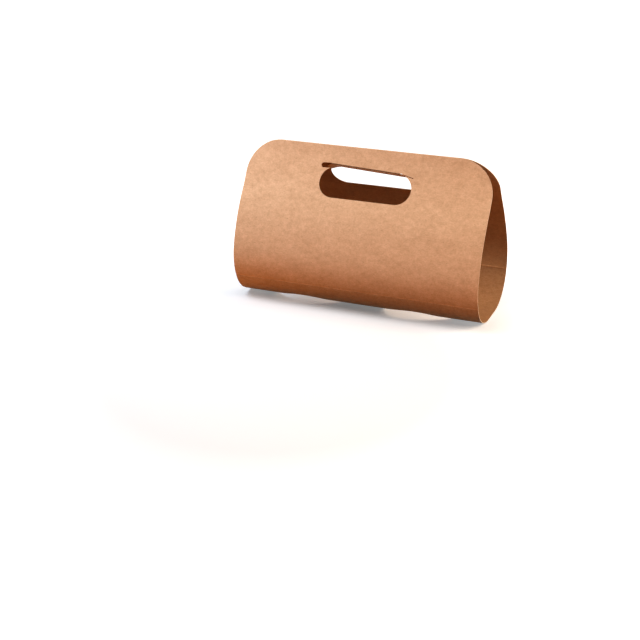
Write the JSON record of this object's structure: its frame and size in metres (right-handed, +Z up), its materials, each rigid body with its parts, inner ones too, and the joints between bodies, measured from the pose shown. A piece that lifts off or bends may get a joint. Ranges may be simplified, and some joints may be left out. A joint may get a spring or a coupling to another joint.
{
  "type": "folded cup carrier",
  "caption": "Kraft cardboard cup carrier: a sheet bent into a loop, with round cup holes in its bottom and hand slots at its top, held shut by a flap tucked through them.",
  "frame": {"origin": "middle of the carrier's width and depth, on the surface it stands on", "axes": "+X along the handle, from left to right as seen from the side whose flap is folded back; +Y from that side to the far one; +Z up"},
  "size_m": [0.23, 0.1004, 0.1448],
  "materials": {
    "kraft_board": "uncoated kraft, matt, with faint fibres"
  },
  "bodies": {
    "root": {"carrier": "kraft_board"}
  },
  "joints": []
}
